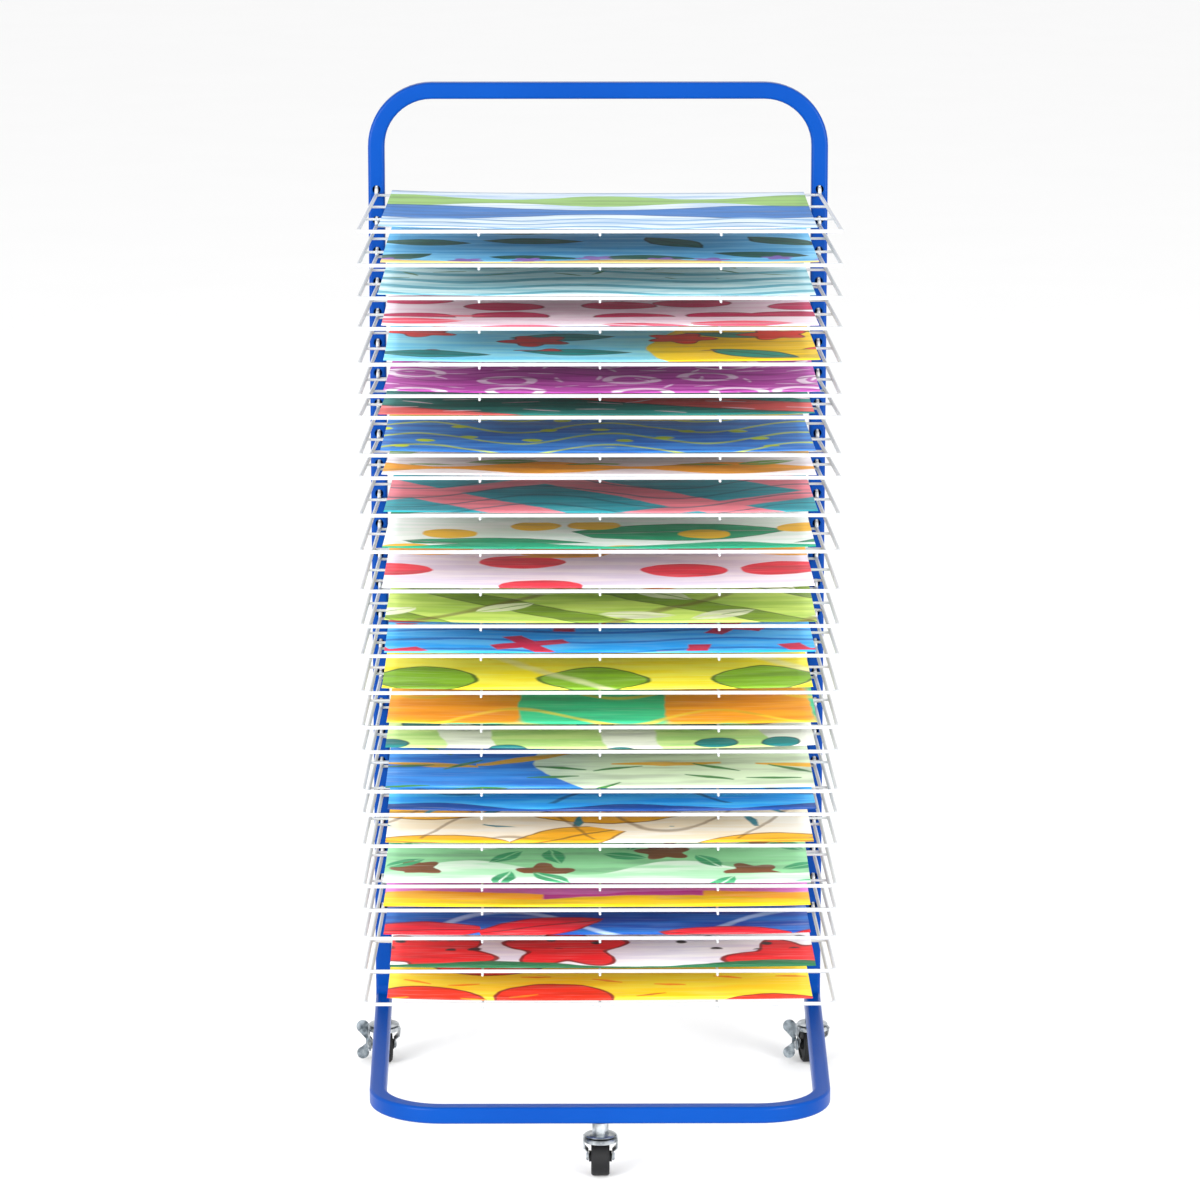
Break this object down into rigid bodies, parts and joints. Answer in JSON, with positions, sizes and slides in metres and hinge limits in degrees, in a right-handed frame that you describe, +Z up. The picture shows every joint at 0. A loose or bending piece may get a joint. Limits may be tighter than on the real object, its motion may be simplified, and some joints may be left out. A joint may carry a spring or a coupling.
{
  "type": "wheeled art drying rack",
  "caption": "Rolling rack for drying artwork: a bent tube frame with a column of hinged wire shelves in front, sheets on the shelves, and small swivel casters below",
  "frame": {"origin": "on the floor, midway between the uprights' centre plane and the front bar's centre, on the plane of symmetry of the frame", "axes": "+X to the right of someone who faces the rack, +Y to the back where the uprights stand, +Z up"},
  "size_m": [0.4756, 0.4101, 0.984],
  "materials": {
    "blue_paint": "gloss powder coat",
    "white_wire": "gloss white coating on steel wire",
    "painted_paper": "matte painted paper",
    "zinc_plate": "bright zinc plate",
    "dark_tread": "matte dark grey tread"
  },
  "bodies": {
    "frame": {"tube_frame": "blue_paint", "caster_mounts": "zinc_plate"},
    "shelf_body_01": {"shelf_01": "white_wire", "paper_01": "painted_paper"},
    "shelf_body_02": {"shelf_02": "white_wire", "paper_02": "painted_paper"},
    "shelf_body_03": {"shelf_03": "white_wire", "paper_03": "painted_paper"},
    "shelf_body_04": {"shelf_04": "white_wire", "paper_04": "painted_paper"},
    "shelf_body_05": {"shelf_05": "white_wire", "paper_05": "painted_paper"},
    "shelf_body_06": {"shelf_06": "white_wire", "paper_06": "painted_paper"},
    "shelf_body_07": {"shelf_07": "white_wire", "paper_07": "painted_paper"},
    "shelf_body_08": {"shelf_08": "white_wire", "paper_08": "painted_paper"},
    "shelf_body_09": {"shelf_09": "white_wire", "paper_09": "painted_paper"},
    "shelf_body_10": {"shelf_10": "white_wire", "paper_10": "painted_paper"},
    "shelf_body_11": {"shelf_11": "white_wire", "paper_11": "painted_paper"},
    "shelf_body_12": {"shelf_12": "white_wire", "paper_12": "painted_paper"},
    "shelf_body_13": {"shelf_13": "white_wire", "paper_13": "painted_paper"},
    "shelf_body_14": {"shelf_14": "white_wire", "paper_14": "painted_paper"},
    "shelf_body_15": {"shelf_15": "white_wire", "paper_15": "painted_paper"},
    "shelf_body_16": {"shelf_16": "white_wire", "paper_16": "painted_paper"},
    "shelf_body_17": {"shelf_17": "white_wire", "paper_17": "painted_paper"},
    "shelf_body_18": {"shelf_18": "white_wire", "paper_18": "painted_paper"},
    "shelf_body_19": {"shelf_19": "white_wire", "paper_19": "painted_paper"},
    "shelf_body_20": {"shelf_20": "white_wire", "paper_20": "painted_paper"},
    "shelf_body_21": {"shelf_21": "white_wire", "paper_21": "painted_paper"},
    "shelf_body_22": {"shelf_22": "white_wire", "paper_22": "painted_paper"},
    "shelf_body_23": {"shelf_23": "white_wire", "paper_23": "painted_paper"},
    "shelf_body_24": {"shelf_24": "white_wire", "paper_24": "painted_paper"},
    "shelf_body_25": {"shelf_25": "white_wire", "paper_25": "painted_paper"},
    "rear_left_fork_body": {"caster_rear_left_fork": "zinc_plate"},
    "rear_left_wheel_body": {"caster_rear_left_wheel": "dark_tread"},
    "rear_left_brake_body": {"caster_rear_left_brake": "zinc_plate"},
    "rear_right_fork_body": {"caster_rear_right_fork": "zinc_plate"},
    "rear_right_wheel_body": {"caster_rear_right_wheel": "dark_tread"},
    "rear_right_brake_body": {"caster_rear_right_brake": "zinc_plate"},
    "front_fork_body": {"caster_front_fork": "zinc_plate"},
    "front_wheel_body": {"caster_front_wheel": "dark_tread"}
  },
  "joints": [
    {"name": "shelf_hinge_01", "type": "hinge", "parent": "frame", "child": "shelf_body_01", "pos_m": [0, 0.1856, 0.8805], "axis": [-1, 0, 0], "range_deg": [0, 50]},
    {"name": "shelf_hinge_02", "type": "hinge", "parent": "frame", "child": "shelf_body_02", "pos_m": [0, 0.1856, 0.8505], "axis": [-1, 0, 0], "range_deg": [0, 4.1]},
    {"name": "shelf_hinge_03", "type": "hinge", "parent": "frame", "child": "shelf_body_03", "pos_m": [0, 0.1856, 0.8205], "axis": [-1, 0, 0], "range_deg": [0, 3.9]},
    {"name": "shelf_hinge_04", "type": "hinge", "parent": "frame", "child": "shelf_body_04", "pos_m": [0, 0.1856, 0.7905], "axis": [-1, 0, 0], "range_deg": [0, 3.6]},
    {"name": "shelf_hinge_05", "type": "hinge", "parent": "frame", "child": "shelf_body_05", "pos_m": [0, 0.1856, 0.7605], "axis": [-1, 0, 0], "range_deg": [0, 4.5]},
    {"name": "shelf_hinge_06", "type": "hinge", "parent": "frame", "child": "shelf_body_06", "pos_m": [0, 0.1856, 0.7305], "axis": [-1, 0, 0], "range_deg": [0, 3.8]},
    {"name": "shelf_hinge_07", "type": "hinge", "parent": "frame", "child": "shelf_body_07", "pos_m": [0, 0.1856, 0.7005], "axis": [-1, 0, 0], "range_deg": [0, 2.1]},
    {"name": "shelf_hinge_08", "type": "hinge", "parent": "frame", "child": "shelf_body_08", "pos_m": [0, 0.1856, 0.6705], "axis": [-1, 0, 0], "range_deg": [0, 4.9]},
    {"name": "shelf_hinge_09", "type": "hinge", "parent": "frame", "child": "shelf_body_09", "pos_m": [0, 0.1856, 0.6405], "axis": [-1, 0, 0], "range_deg": [0, 2.3]},
    {"name": "shelf_hinge_10", "type": "hinge", "parent": "frame", "child": "shelf_body_10", "pos_m": [0, 0.1856, 0.6105], "axis": [-1, 0, 0], "range_deg": [0, 4.9]},
    {"name": "shelf_hinge_11", "type": "hinge", "parent": "frame", "child": "shelf_body_11", "pos_m": [0, 0.1856, 0.5805], "axis": [-1, 0, 0], "range_deg": [0, 4.7]},
    {"name": "shelf_hinge_12", "type": "hinge", "parent": "frame", "child": "shelf_body_12", "pos_m": [0, 0.1856, 0.5505], "axis": [-1, 0, 0], "range_deg": [0, 5.2]},
    {"name": "shelf_hinge_13", "type": "hinge", "parent": "frame", "child": "shelf_body_13", "pos_m": [0, 0.1856, 0.5205], "axis": [-1, 0, 0], "range_deg": [0, 4.5]},
    {"name": "shelf_hinge_14", "type": "hinge", "parent": "frame", "child": "shelf_body_14", "pos_m": [0, 0.1856, 0.4905], "axis": [-1, 0, 0], "range_deg": [0, 3.6]},
    {"name": "shelf_hinge_15", "type": "hinge", "parent": "frame", "child": "shelf_body_15", "pos_m": [0, 0.1856, 0.4605], "axis": [-1, 0, 0], "range_deg": [0, 4.9]},
    {"name": "shelf_hinge_16", "type": "hinge", "parent": "frame", "child": "shelf_body_16", "pos_m": [0, 0.1856, 0.4305], "axis": [-1, 0, 0], "range_deg": [0, 4.5]},
    {"name": "shelf_hinge_17", "type": "hinge", "parent": "frame", "child": "shelf_body_17", "pos_m": [0, 0.1856, 0.4005], "axis": [-1, 0, 0], "range_deg": [0, 2.7]},
    {"name": "shelf_hinge_18", "type": "hinge", "parent": "frame", "child": "shelf_body_18", "pos_m": [0, 0.1856, 0.3705], "axis": [-1, 0, 0], "range_deg": [0, 5.4]},
    {"name": "shelf_hinge_19", "type": "hinge", "parent": "frame", "child": "shelf_body_19", "pos_m": [0, 0.1856, 0.3405], "axis": [-1, 0, 0], "range_deg": [0, 2.5]},
    {"name": "shelf_hinge_20", "type": "hinge", "parent": "frame", "child": "shelf_body_20", "pos_m": [0, 0.1856, 0.3105], "axis": [-1, 0, 0], "range_deg": [0, 3.9]},
    {"name": "shelf_hinge_21", "type": "hinge", "parent": "frame", "child": "shelf_body_21", "pos_m": [0, 0.1856, 0.2805], "axis": [-1, 0, 0], "range_deg": [0, 5.6]},
    {"name": "shelf_hinge_22", "type": "hinge", "parent": "frame", "child": "shelf_body_22", "pos_m": [0, 0.1856, 0.2505], "axis": [-1, 0, 0], "range_deg": [0, 2.7]},
    {"name": "shelf_hinge_23", "type": "hinge", "parent": "frame", "child": "shelf_body_23", "pos_m": [0, 0.1856, 0.2205], "axis": [-1, 0, 0], "range_deg": [0, 3.4]},
    {"name": "shelf_hinge_24", "type": "hinge", "parent": "frame", "child": "shelf_body_24", "pos_m": [0, 0.1856, 0.1905], "axis": [-1, 0, 0], "range_deg": [0, 4.3]},
    {"name": "shelf_hinge_25", "type": "hinge", "parent": "frame", "child": "shelf_body_25", "pos_m": [0, 0.1856, 0.1605], "axis": [-1, 0, 0], "range_deg": [0, 4.3]},
    {"name": "rear_left_swivel", "type": "hinge", "parent": "frame", "child": "rear_left_fork_body", "pos_m": [-0.215, 0.169, 0.055], "axis": [0, 0, 1], "continuous": true},
    {"name": "rear_left_axle", "type": "hinge", "parent": "rear_left_fork_body", "child": "rear_left_wheel_body", "pos_m": [-0.21667, 0.18088, 0.018], "axis": [0.9903, 0.1392, 0], "continuous": true},
    {"name": "rear_left_brake", "type": "hinge", "parent": "rear_left_fork_body", "child": "rear_left_brake_body", "pos_m": [-0.21667, 0.18088, 0.018], "axis": [-0.9903, -0.1392, 0], "range_deg": [0, 18]},
    {"name": "rear_right_swivel", "type": "hinge", "parent": "frame", "child": "rear_right_fork_body", "pos_m": [0.215, 0.169, 0.055], "axis": [0, 0, 1], "continuous": true},
    {"name": "rear_right_axle", "type": "hinge", "parent": "rear_right_fork_body", "child": "rear_right_wheel_body", "pos_m": [0.21291, 0.18082, 0.018], "axis": [0.9848, 0.1736, 0], "continuous": true},
    {"name": "rear_right_brake", "type": "hinge", "parent": "rear_right_fork_body", "child": "rear_right_brake_body", "pos_m": [0.21291, 0.18082, 0.018], "axis": [-0.9848, -0.1736, 0], "range_deg": [0, 18]},
    {"name": "front_swivel", "type": "hinge", "parent": "frame", "child": "front_fork_body", "pos_m": [0, -0.193, 0.055], "axis": [0, 0, 1], "continuous": true},
    {"name": "front_axle", "type": "hinge", "parent": "front_fork_body", "child": "front_wheel_body", "pos_m": [0, -0.181, 0.018], "axis": [1, 0, 0], "continuous": true}
  ]
}
